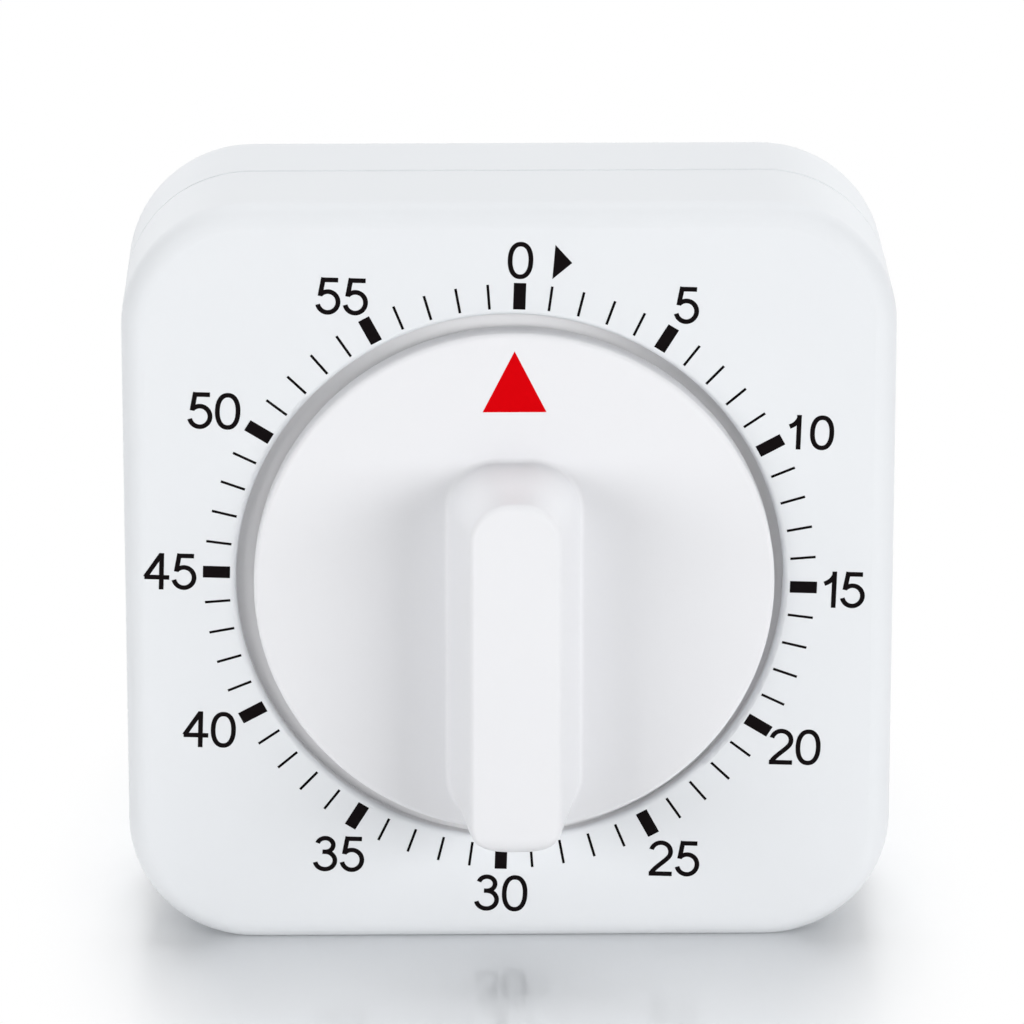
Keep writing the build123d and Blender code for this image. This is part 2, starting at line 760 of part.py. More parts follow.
# Escape wheel with pointed, leaning teeth
with BuildPart() as escape_wheel:
    with BuildSketch(layer(escape_back, escape_place)):
        with BuildLine():
            escape_step_angle = 360 / escape_teeth
            escape_points = []
            for tooth in range(escape_teeth):
                start = tooth * escape_step_angle
                escape_points.append(polar(escape_radius - escape_tooth_depth, start))
                escape_points.append(polar(escape_radius, start + escape_step_angle * escape_lean))
            Polyline(*escape_points, close=True)
        make_face()
        Circle(arbor_radius + press_gap, mode=Mode.SUBTRACT)
    extrude(amount=train_thickness)

# The rocking half of the escapement: arbor, two-nib lever and balance
with BuildPart() as pallet_arbor:
    with BuildSketch(layer(rear_plate_back, pallet_place)):
        Circle(pivot_radius)
    extrude(amount=rear_plate_back - plate_front)
    with BuildSketch(layer(rear_plate_front - end_shake, pallet_place)):
        Circle(arbor_radius)
    extrude(amount=rear_plate_front - plate_back - 2 * end_shake)

with BuildPart() as pallet_lever:
    nib_x, nib_z = polar(escape_radius + swing_gap + pallet_step * radians(pallet_rock), pallet_nib_angle)
    with BuildSketch(layer(escape_back, escape_place, pallet_bearing)):
        with Locations((pallet_step, 0)):
            Circle(pallet_hub_radius)
        for side in (1, -1):
            with BuildLine():
                Polyline(
                    (pallet_step, 0),
                    (pallet_step, side * pallet_hub_radius),
                    (nib_x + pallet_arm, side * (nib_z + pallet_arm)),
                    (nib_x, side * nib_z),
                    close=True,
                )
            make_face()
        with Locations((pallet_step, 0)):
            Circle(arbor_radius + press_gap, mode=Mode.SUBTRACT)
    extrude(amount=train_thickness)

with BuildPart() as balance:
    with BuildSketch(layer(balance_back, pallet_place)):
        Circle(balance_radius)
        Circle(balance_radius - balance_rim, mode=Mode.SUBTRACT)
        Rectangle(2 * balance_radius - balance_rim, balance_rim)
        Circle(pallet_hub_radius)
        Circle(arbor_radius + press_gap, mode=Mode.SUBTRACT)
    extrude(amount=balance_thickness)

# Bell: a shallow spun dome with a straight skirt, screwed on a post that is riveted to the rear plate
bell_axis = Axis((bell_place[0], 0, axis_height + bell_place[1]), (0, 1, 0))
bell_section = Plane(
    origin=(bell_place[0], face_y, axis_height + bell_place[1]), x_dir=(1, 0, 0), z_dir=(0, 0, 1)
)
with BuildPart() as bell:
    sphere = (bell_radius**2 + bell_rise**2) / (2 * bell_rise)
    sphere_centre = bell_crown - sphere
    hole = bell_stud_radius + press_gap
    inner_radius = bell_radius - bell_wall
    inner_sphere = sphere - bell_wall

    def dome(radius, ball):
        return (radius, sphere_centre + sqrt(ball**2 - radius**2))

    with BuildSketch(bell_section):
        with BuildLine():
            ThreePointArc(dome(hole, sphere), dome(bell_radius / 2, sphere), dome(bell_radius, sphere))
            Polyline(
                dome(bell_radius, sphere),
                (bell_radius, bell_rim),
                (inner_radius, bell_rim),
                dome(inner_radius, inner_sphere),
            )
            ThreePointArc(
                dome(inner_radius, inner_sphere),
                dome(bell_radius / 2, inner_sphere),
                dome(hole, inner_sphere),
            )
            Line(dome(hole, inner_sphere), dome(hole, sphere))
        make_face()
    revolve(axis=bell_axis)

bell_seat = dome(bell_post_radius, inner_sphere)[1]
nut_seat = dome(hole, sphere)[1]
with BuildPart() as bell_post:
    with BuildSketch(layer(bell_seat, bell_place)):
        Circle(bell_post_radius)
    extrude(amount=bell_seat - rear_plate_back)
    with BuildSketch(layer(nut_seat + bell_nut_thickness, bell_place)):
        Circle(bell_stud_radius)
    extrude(amount=nut_seat + bell_nut_thickness - rear_plate_front)

with BuildPart() as bell_nut:
    with BuildSketch(layer(nut_seat + bell_nut_thickness, bell_place)):
        RegularPolygon(bell_nut_flats / 2, 6, major_radius=False)
        Circle(bell_stud_radius + press_gap, mode=Mode.SUBTRACT)
    extrude(amount=bell_nut_thickness)

# Hammer: an arbor with a tail under the cam, between the plates, and an arm with a head inside the bell
tail_drop = degrees(asin((cam_radius + swing_gap + hammer_tail_width / 2) / hammer_reach))
tail_turn = bearing(hammer_place, (0, 0)) - tail_drop
tail_length = hammer_reach * cos(radians(tail_drop)) + hammer_tail_spare
head_reach = bell_radius - bell_wall - hammer_head_gap - hammer_head_radius
head_offset = polar(head_reach, hammer_head_angle)
head_place = (bell_place[0] + head_offset[0], bell_place[1] + head_offset[1])
arm_turn = bearing(hammer_place, head_place)
arm_length = hypot(head_place[0] - hammer_place[0], head_place[1] - hammer_place[1])
with BuildPart() as hammer_arbor:
    with BuildSketch(layer(arm_back, hammer_place)):
        Circle(hammer_radius)
    extrude(amount=arm_back - plate_front)
    with BuildSketch(layer(cam_front, hammer_place)):
        Circle(hammer_hub_radius)
    extrude(amount=cam_front - plate_back - end_shake)

with BuildPart() as hammer_tail:
    with BuildSketch(layer(cam_back, hammer_place, tail_turn)):
        Circle(hammer_hub_radius)
        SlotCenterPoint((tail_length / 2, 0), (tail_length, 0), hammer_tail_width)
        Circle(hammer_radius + press_gap, mode=Mode.SUBTRACT)
    extrude(amount=cam_thickness)

with BuildPart() as hammer_arm:
    with BuildSketch(layer(arm_back, hammer_place, arm_turn)):
        Circle(hammer_hub_radius)
        SlotCenterPoint((arm_length / 2, 0), (arm_length, 0), hammer_arm_width)
        Circle(hammer_radius + press_gap, mode=Mode.SUBTRACT)
    extrude(amount=hammer_arm_thickness)

with BuildPart() as hammer_head:
    with BuildSketch(layer(head_back, head_place)):
        Circle(hammer_head_radius)
    extrude(amount=hammer_head_height)

# Leaf spring clipped round a pillar, which pushes the hammer's tail back towards the cam
contact = polar(leaf_contact, tail_turn)
under = polar(hammer_tail_width / 2 + leaf_thickness / 2 + press_gap, tail_turn - 90)
leaf_tip = (hammer_place[0] + contact[0] + under[0], hammer_place[1] + contact[1] + under[1])
leaf_foot = pillar_places[1]
leaf_length = hypot(leaf_tip[0] - leaf_foot[0], leaf_tip[1] - leaf_foot[1])
clip_radius = pillar_radius + press_gap
with BuildPart() as hammer_spring:
    with BuildSketch(layer(cam_back, leaf_foot, bearing(leaf_foot, leaf_tip))):
        Circle(clip_radius + leaf_thickness)
        with Locations((leaf_length / 2, 0)):
            Rectangle(leaf_length, leaf_thickness)
        Circle(clip_radius, mode=Mode.SUBTRACT)
    extrude(amount=cam_thickness)

# One STEP file for each piece
pieces = {
    "front_housing": front_housing,
    "rear_cover": rear_cover,
    "case_screws": case_screws,
    "magnets": magnets,
    "dial_knob": dial_knob,
    "main_arbor": main_arbor,
    "front_plate": front_plate,
    "rear_plate": rear_plate,
    "pillars": pillars,
    "pillar_nuts": pillar_nuts,
    "movement_screws": movement_screws,
    "front_bush": front_bush,
    "rear_bush": rear_bush,
    "mainspring": mainspring,
    "spring_post": spring_post,
    "great_wheel": great_wheel,
    "clutch_spring": clutch_spring,
    "wheel_collar": wheel_collar,
    "lifting_cam": lifting_cam,
    "second_arbor": second_arbor,
    "second_wheel": second_wheel,
    "third_arbor": third_arbor,
    "third_wheel": third_wheel,
    "escape_arbor": escape_arbor,
    "escape_wheel": escape_wheel,
    "pallet_arbor": pallet_arbor,
    "pallet_lever": pallet_lever,
    "balance": balance,
    "bell": bell,
    "bell_post": bell_post,
    "bell_nut": bell_nut,
    "hammer_arbor": hammer_arbor,
    "hammer_tail": hammer_tail,
    "hammer_arm": hammer_arm,
    "hammer_head": hammer_head,
    "hammer_spring": hammer_spring,
}
os.makedirs("parts", exist_ok=True)
for name, piece in pieces.items():
    piece.part.label = name
    export_step(piece.part, f"parts/{name}.step")

print("dial travel", round(dial_travel, 2), "pallet rock", pallet_rock)
for name, place in (
    ("second", second_place),
    ("third", third_place),
    ("escape", escape_place),
    ("pallet", pallet_place),
    ("hammer", hammer_place),
):
    print(name, "axis", round(place[0], 3), round(axis_height + place[1], 3))
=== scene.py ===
import json
import math

import bmesh
import bpy
import numpy as np
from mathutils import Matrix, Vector


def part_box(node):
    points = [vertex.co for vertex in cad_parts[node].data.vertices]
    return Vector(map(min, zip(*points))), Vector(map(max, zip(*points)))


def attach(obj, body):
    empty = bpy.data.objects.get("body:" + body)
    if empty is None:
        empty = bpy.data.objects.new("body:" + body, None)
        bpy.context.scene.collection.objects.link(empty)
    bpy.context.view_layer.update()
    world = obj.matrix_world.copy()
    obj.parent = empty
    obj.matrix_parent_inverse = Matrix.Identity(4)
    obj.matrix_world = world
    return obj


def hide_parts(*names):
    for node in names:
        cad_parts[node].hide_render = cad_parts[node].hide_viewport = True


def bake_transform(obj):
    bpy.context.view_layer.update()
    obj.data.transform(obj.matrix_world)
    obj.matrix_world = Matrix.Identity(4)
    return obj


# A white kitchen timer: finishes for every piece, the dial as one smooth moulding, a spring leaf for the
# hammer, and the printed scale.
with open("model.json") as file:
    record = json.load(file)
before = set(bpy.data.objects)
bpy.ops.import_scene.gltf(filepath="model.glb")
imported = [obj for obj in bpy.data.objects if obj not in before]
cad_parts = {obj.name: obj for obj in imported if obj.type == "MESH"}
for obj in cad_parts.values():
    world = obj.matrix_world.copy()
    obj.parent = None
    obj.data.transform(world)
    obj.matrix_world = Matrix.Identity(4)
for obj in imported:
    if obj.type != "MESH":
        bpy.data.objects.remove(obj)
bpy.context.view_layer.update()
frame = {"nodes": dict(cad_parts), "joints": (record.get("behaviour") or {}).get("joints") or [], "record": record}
nodes = frame["nodes"]
mm = 0.001
hingePlace = {joint["name"]: joint["pos_m"] for joint in frame["joints"]}
axisX, axisZ = hingePlace["dial_turn"][0], hingePlace["dial_turn"][2]
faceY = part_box("front_housing")[0].y
print("frame loaded:", len(nodes), "nodes, face at", round(faceY / mm, 3), "mm")


# Shader sockets

class Shade:
    # One shader socket. + - * and ** add Math nodes, and node() adds a node of any other kind.
    def __init__(self, tree, socket=None):
        self.tree = tree
        self.socket = socket

    # A link from another socket, or else a plain value.
    def plug(self, target, value):
        if isinstance(value, Shade):
            self.tree.links.new(value.socket, target)
        else:
            target.default_value = value

    # A node's settings are set first, then its sockets by name or number. The outlet is where to go on from.
    def node(self, kind, settings=None, sockets=None, outlet=0):
        made = self.tree.nodes.new(kind)
        for key, value in (settings or {}).items():
            setattr(made, key, value)
        for key, value in (sockets or {}).items():
            self.plug(made.inputs[key], value)
        return Shade(self.tree, made.outputs[outlet])

    def math(self, operation, first, second):
        return self.node("ShaderNodeMath", {"operation": operation}, {0: first, 1: second})

    def __add__(self, other):
        return self.math("ADD", self, other)

    def __radd__(self, other):
        return self.math("ADD", other, self)

    def __sub__(self, other):
        return self.math("SUBTRACT", self, other)

    def __rsub__(self, other):
        return self.math("SUBTRACT", other, self)

    def __mul__(self, other):
        return self.math("MULTIPLY", self, other)

    def __rmul__(self, other):
        return self.math("MULTIPLY", other, self)

    def __pow__(self, other):
        return self.math("POWER", self, other)


# A new material with its principled shader: gives the material, a starting socket, the shader's inputs, and
# the place in Object coordinates.
def newFinish(name, plain):
    material = bpy.data.materials.new(name)
    material.use_nodes = True
    tree = material.node_tree
    shader = tree.nodes["Principled BSDF"]
    for key, value in plain.items():
        shader.inputs[key].default_value = value
    start = Shade(tree)
    place = start.node("ShaderNodeTexCoord", outlet="Object")
    return material, start, shader.inputs, place


# Noise that is fine or broad by its scale per metre, about 0.5 on average.
def noise(start, place, scale, detail):
    return start.node("ShaderNodeTexNoise", {}, {"Vector": place, "Scale": scale, "Detail": detail})


mixSockets = {"share": 0, "first": 6, "second": 7, "result": 2}  # the Mix node's colour sockets, by number


# Two colours mixed by a value from 0 to 1.
def mixColour(start, share, first, second):
    first, second = (value if isinstance(value, Shade) else (*value, 1) for value in (first, second))
    sockets = {mixSockets["share"]: share, mixSockets["first"]: first, mixSockets["second"]: second}
    return start.node("ShaderNodeMix", {"data_type": "RGBA"}, sockets, mixSockets["result"])


# A normal that leans as a height from 0 to 1 rises and falls over a depth in metres.
def bump(start, height, strength, depth):
    return start.node("ShaderNodeBump", {}, {"Height": height, "Strength": strength, "Distance": depth})


def axisPart(start, place, axis):
    return start.node("ShaderNodeSeparateXYZ", {}, {0: place}, axis)


# Distance from an axis along Y through (x, z): sqrt((x - cx)^2 + (z - cz)^2).
def axisDistance(start, place, centre):
    across = axisPart(start, place, "X") - centre[0]
    above = axisPart(start, place, "Z") - centre[1]
    return (across ** 2.0 + above ** 2.0) ** 0.5


# 1 in the dial's well, inside its wall and between two depths behind the face, and 0 elsewhere: where the painted
# shade goes.
def wellMask(start, place, radius, near, far):
    behind = axisPart(start, place, "Y") - faceY
    inside = start.math("LESS_THAN", axisDistance(start, place, (axisX, axisZ)), radius)
    return inside * start.math("GREATER_THAN", behind, near) * start.math("LESS_THAN", behind, far)


plasticLook = {
    "shader": {"IOR": 1.5, "Specular IOR Level": 0.5},
    "driftScale": 45.0,
    "driftDetail": 2.0,
    "patchScale": 260.0,
    "patchDetail": 4.0,
    "grainDetail": 2.0,
    "wave": 2.0,  # how much the broad drift shows in the bump beside the grain
    "bump": 0.20,
}
# Painted shade: a darker colour on the well's wall and floor behind the face, standing in for the shade in the gap
# round the dial.
wellPaintedShade = {
    "radius": 24.30 * mm,
    "near": 0.45 * mm,
    "far": 1.80 * mm,
    "colour": (0.806, 0.806, 0.818),
    "least": 0.8,
    "span": 0.4,
}
caseTone = {
    "dark": (0.800, 0.822, 0.848),
    "light": (0.822, 0.842, 0.866),
    "rough": (0.42, 0.48),
    "grainScale": 900.0,
    "depth": 1.5e-6,
}
dialTone = {
    "dark": (0.826, 0.832, 0.856),
    "light": (0.846, 0.851, 0.873),
    "rough": (0.40, 0.46),
    "grainScale": 1100.0,
    "depth": 1.2e-6,
}


# Moulded plastic: a broad drift in tone, patches of more and less gloss, a fine moulding grain, and painted
# shade in the dial's well, a darker colour where the gap's shade falls.
def mouldedPlastic(name, tone, paintedShade=None):
    look = plasticLook
    material, start, inputs, place = newFinish(name, look["shader"])
    drift = noise(start, place, look["driftScale"], look["driftDetail"])
    patches = noise(start, place, look["patchScale"], look["patchDetail"])
    grain = noise(start, place, tone["grainScale"], look["grainDetail"])
    colour = mixColour(start, drift, tone["dark"], tone["light"])
    if paintedShade:
        # Painted shade: the well behind the face is mixed towards a darker colour, where the gap's shade falls.
        paintedShadeMask = wellMask(start, place, paintedShade["radius"], paintedShade["near"], paintedShade["far"])
        colour = mixColour(start, paintedShadeMask * (paintedShade["least"] + paintedShade["span"] * patches), colour, paintedShade["colour"])
    smooth, dull = tone["rough"]
    start.plug(inputs["Base Color"], colour)
    start.plug(inputs["Roughness"], smooth + (dull - smooth) * patches)
    start.plug(inputs["Normal"], bump(start, grain + drift * look["wave"], look["bump"], tone["depth"]))
    return material


inkLook = {
    "shader": {"IOR": 1.45, "Specular IOR Level": 0.03},
    "coverScale": 1800.0,
    "coverDetail": 3.0,
    "rough": 0.38,
    "coverRough": 0.16,
    "skinScale": 6000.0,
    "skinDetail": 2.0,
    "bump": 0.15,
    "depth": 4e-6,
}


# Pad-printed ink: small differences in how thickly it lies, and a slightly rough skin.
def padInk(name, thin, thick):
    look = inkLook
    material, start, inputs, place = newFinish(name, look["shader"])
    cover = noise(start, place, look["coverScale"], look["coverDetail"])
    skin = noise(start, place, look["skinScale"], look["skinDetail"])
    start.plug(inputs["Base Color"], mixColour(start, cover, thin, thick))
    start.plug(inputs["Roughness"], look["rough"] + look["coverRough"] * cover)
    start.plug(inputs["Normal"], bump(start, skin, look["bump"], look["depth"]))
    return material


turnedLook = {
    "ringScale": 9000.0,
    "ringDetail": 2.0,
    "drawn": 0.2,  # how much of the length along the axis counts beside the radius
    "stainScale": 420.0,
    "stainDetail": 4.0,
    "ringRough": 0.16,
    "stainRough": 0.10,
    "bump": 0.25,
    "depth": 3e-6,
}
turnedTones = {
    "wheel_brass": {"dark": (0.60, 0.40, 0.13), "light": (0.80, 0.58, 0.24), "rough": 0.20},
    "arbor_steel": {"dark": (0.48, 0.49, 0.51), "light": (0.64, 0.65, 0.67), "rough": 0.16},
    "bell_nickel": {"dark": (0.58, 0.56, 0.52), "light": (0.72, 0.70, 0.66), "rough": 0.14},
    "screw_zinc": {"dark": (0.55, 0.57, 0.60), "light": (0.74, 0.75, 0.76), "rough": 0.26},
}


# Turned metal: rings about an axis at (x, z), from a noise of the radius and a little of the length.
def turnedMetal(name, tone, centre):
    look = turnedLook
    material, start, inputs, place = newFinish(name, {"Metallic": 1.0})
    radius = axisDistance(start, place, centre)
    length = axisPart(start, place, "Y")
    turned = start.node("ShaderNodeCombineXYZ", {}, {0: radius, 1: length * look["drawn"]})
    ring = noise(start, turned, look["ringScale"], look["ringDetail"])
    stain = noise(start, place, look["stainScale"], look["stainDetail"])
    start.plug(inputs["Base Color"], mixColour(start, stain, tone["dark"], tone["light"]))
    start.plug(inputs["Roughness"], tone["rough"] + look["ringRough"] * ring + look["stainRough"] * stain)
    start.plug(inputs["Normal"], bump(start, ring, look["bump"], look["depth"]))
    return material


rolledLook = {
    "stretch": (0.02, 1.0, 1.0),
    "lineScale": 7000.0,
    "lineDetail": 3.0,
    "cloudScale": 240.0,
    "cloudDetail": 5.0,
    "lineRough": 0.20,
    "cloudRough": 0.08,
    "bump": 0.2,
    "depth": 3e-6,
}
rolledTones = {
    "plateSteel": {"dark": (0.52, 0.53, 0.55), "light": (0.66, 0.67, 0.68), "rough": 0.24},
    "leverSteel": {"dark": (0.46, 0.47, 0.49), "light": (0.60, 0.61, 0.63), "rough": 0.26},
    "springSteel": {"dark": (0.13, 0.16, 0.24), "light": (0.24, 0.27, 0.34), "rough": 0.22},
}


# Rolled metal: fine straight lines along X, with faint clouds of tarnish.
def rolledMetal(name, tone):
    look = rolledLook
    material, start, inputs, place = newFinish(name, {"Metallic": 1.0})
    stretched = start.node("ShaderNodeMapping", {}, {"Vector": place, "Scale": look["stretch"]})
    lines = noise(start, stretched, look["lineScale"], look["lineDetail"])
    cloud = noise(start, place, look["cloudScale"], look["cloudDetail"])
    start.plug(inputs["Base Color"], mixColour(start, cloud, tone["dark"], tone["light"]))
    start.plug(inputs["Roughness"], tone["rough"] + look["lineRough"] * lines + look["cloudRough"] * cloud)
    start.plug(inputs["Normal"], bump(start, lines, look["bump"], look["depth"]))
    return material


ferriteLook = {
    "shader": {"IOR": 1.6},
    "dark": (0.030, 0.030, 0.033),
    "light": (0.085, 0.085, 0.090),
    "cellScale": 5200.0,
    "speckScale": 2600.0,
    "speckDetail": 4.0,
    "rough": 0.50,
    "speckRough": 0.25,
    "bump": 0.4,
    "depth": 1.5e-5,
}


# Sintered magnet: dark grains with paler specks, dull all over.
def sinteredGrains(name, look):
    material, start, inputs, place = newFinish(name, look["shader"])
    cells = start.node("ShaderNodeTexVoronoi", {}, {"Vector": place, "Scale": look["cellScale"]})
    speck = noise(start, place, look["speckScale"], look["speckDetail"])
    start.plug(inputs["Base Color"], mixColour(start, speck, look["dark"], look["light"]))
    start.plug(inputs["Roughness"], look["rough"] + look["speckRough"] * speck)
    start.plug(inputs["Normal"], bump(start, cells + speck, look["bump"], look["depth"]))
    return material


inkBlack = padInk("inkBlack", (0.0075, 0.0055, 0.0060), (0.0050, 0.0035, 0.0040))
inkRed = padInk("inkRed", (0.700, 0.0005, 0.0035), (0.660, 0.0003, 0.0025))
# One finish for all the nodes of a slot. A turned piece has its own, about its own axis.
plainFinish = {
    "case_plastic": mouldedPlastic("casePlastic", caseTone, wellPaintedShade),
    "dial_plastic": mouldedPlastic("dialPlastic", dialTone),
    "plate_steel": rolledMetal("plateSteel", rolledTones["plateSteel"]),
    "lever_steel": rolledMetal("leverSteel", rolledTones["leverSteel"]),
    "spring_steel": rolledMetal("springSteel", rolledTones["springSteel"]),
    "magnet_ferrite": sinteredGrains("magnetFerrite", ferriteLook),
}

slotOf = {row["node"]: row["material_slot"] for row in frame["record"]["subparts"]}
for name, node in nodes.items():
    slotName = slotOf[name]
    finish = plainFinish.get(slotName)
    if finish is None:
        low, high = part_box(name)
        middle = (low + high) / 2
        finish = turnedMetal(f"{slotName}_{name}", turnedTones[slotName], (middle.x, middle.z))
    node.data.materials.clear()
    node.data.materials.append(finish)
print("finishes on", len(nodes), "nodes")


# Surfaces

meshSettings = {"weld": 2e-7, "sliver": 1e-7, "smoothAngle": 35.0}


# Quads between neighbouring rows and columns of a grid, with the last column joined to the first.
def gridQuads(rows, columns):
    index = np.arange(rows * columns).reshape(rows, columns)
    index = np.hstack([index, index[:, :1]])
    corners = [index[:-1, :-1], index[:-1, 1:], index[1:, 1:], index[1:, :-1]]
    return np.stack(corners, axis=-1).reshape(-1, 4)


# One piece from several closed grids of points, welded at its poles and shaded smooth up to an angle. It
# rides on a body if it is given one. It may stand for nodes of the frame.
def makePiece(name, grids, body, finish, stands=()):
    points, quads, count = [], [], 0
    for grid in grids:
        rows, columns = grid.shape[:2]
        points.append(grid.reshape(-1, 3))
        quads.append(gridQuads(rows, columns) + count)
        count += rows * columns
    mesh = bpy.data.meshes.new(name)
    mesh.from_pydata(np.vstack(points).tolist(), [], np.vstack(quads).tolist())
    work = bmesh.new()
    work.from_mesh(mesh)
    bmesh.ops.remove_doubles(work, verts=work.verts, dist=meshSettings["weld"])
    bmesh.ops.dissolve_degenerate(work, edges=work.edges, dist=meshSettings["sliver"])
    bmesh.ops.recalc_face_normals(work, faces=work.faces)
    work.to_mesh(mesh)
    work.free()
    mesh.shade_smooth()
    mesh.set_sharp_from_angle(angle=math.radians(meshSettings["smoothAngle"]))
    mesh.materials.append(finish)
    piece = bpy.data.objects.new(name, mesh)
    bpy.context.scene.collection.objects.link(piece)
    if body:
        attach(piece, body)
    if stands:
        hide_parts(*stands)
    return piece


# Points on an arc about a centre, from one angle to another in degrees.
def arc(centre, radius, start, end, steps):
    turn = np.radians(np.linspace(start, end, steps + 1))
    return np.stack([centre[0] + radius * np.cos(turn), centre[1] + radius * np.sin(turn)], axis=-1)


# A grid with its first and last rows drawn in to a point at their middle, so that a bar has closed ends.
def closeEnds(grid):
    starts, ends = (np.broadcast_to(row.mean(axis=0), row.shape)[None] for row in (grid[0], grid[-1]))
    return np.concatenate([starts, grid, ends])


# Face coordinates (right, up, towards the viewer) in millimetres from the dial axis to the frame in metres.
def fromFace(right, up, ahead):
    return np.stack([axisX + right * mm, faceY - ahead * mm, axisZ + up * mm], axis=-1)


# The dial

# Millimetres from the dial's axis and the face. The bar's upper end leans back from its foot to its crest,
# and its lower end follows the dial's edge.
dialSettings = {
    "radius": 22.95,
    "ahead": 1.75,
    "back": -0.75,
    "edgeRound": 0.45,
    "edgeWall": 0.1,  # straight wall of the rim kept behind its round
    "skirtInner": 21.15,
    "webBack": -0.05,
    "hubRadius": 4.2,
    "hubBack": -0.75,
    "boreRadius": 2.51,
    "boreEnd": 6.5,
    "offset": 0.38,  # to the right of the well's centre
    "barHeight": 10.55,
    "footWidth": 11.6,
    "footCorner": 4.4,
    "footTop": 11.3,
    "footEndCorner": 4.4,
    "crestWidth": 8.0,
    "crestCorner": 3.4,
    "crestTop": 10.5,
    "crestEndCorner": 3.1,
    "endInset": 0.95,
    "footRound": 0.5,
    "footRoundLeast": 0.02,
    "footRoom": 0.9,  # width of the dial's flat that each millimetre of the foot's round takes up
    "crestRound": 0.55,
    "endRound": 2.6,
}
barSteps = {"flat": 15, "corner": 22, "side": 111, "end": 16}
knobRows = {
    "rim": 15,
    "web": (0.01, 0.05, 0.2, 0.4, 0.6, 0.8, 0.93, 0.99),
    "foot": 10,
    "wall": (0.02, 0.1, 0.35, 0.65, 0.9, 0.98),
    "crest": 13,
    "top": 17,
}


# A level outline of the bar, clockwise from its upper middle, with outward normals: a flat with round corners
# above, straight sides, and round corners below into an arc about the dial's own centre.
def barOutline(dial, level):
    half, top = dial[level + "Width"] / 2, dial[level + "Top"]
    corner, low = dial[level + "Corner"], dial[level + "EndCorner"]
    endRadius = dial["radius"] - dial["endInset"]
    lowX = half - low
    lowZ = -math.sqrt((endRadius - low) ** 2 - lowX**2)
    endAngle = math.degrees(math.atan2(lowZ, lowX))
    highX, highZ = half - corner, top - corner
    flat = np.linspace((0, top), (highX, top), barSteps["flat"] + 1)[:-1]
    shoulder = arc((highX, highZ), corner, 90, 0, barSteps["corner"])
    sideAngles = np.linspace(math.atan2(highZ, half), math.atan2(lowZ, half), barSteps["side"] + 1)[1:-1]
    side = np.stack([np.full(sideAngles.shape, half), half * np.tan(sideAngles)], axis=-1)
    bend = arc((lowX, lowZ), low, 0, endAngle, barSteps["corner"])
    end = arc((0, 0), endRadius, endAngle, -90, barSteps["end"])[1:]
    right = np.vstack([flat, shoulder, side, bend, end])
    normal = np.vstack([
        np.tile([0.0, 1.0], (len(flat), 1)), (shoulder - (highX, highZ)) / corner,
        np.tile([1.0, 0.0], (len(side), 1)), (bend - (lowX, lowZ)) / low, end / endRadius,
    ])
    mirror = np.array([-1.0, 1.0])
    return np.vstack([right, (right * mirror)[-2:0:-1]]), np.vstack([normal, (normal * mirror)[-2:0:-1]])


# How far a rounded edge falls away at a radius: round - sqrt(round^2 - (radius - flat)^2).
def roundFall(radius, outer, edge):
    over = np.clip(radius - (outer - edge), 0, edge)
    return edge - np.sqrt(edge**2 - over**2)


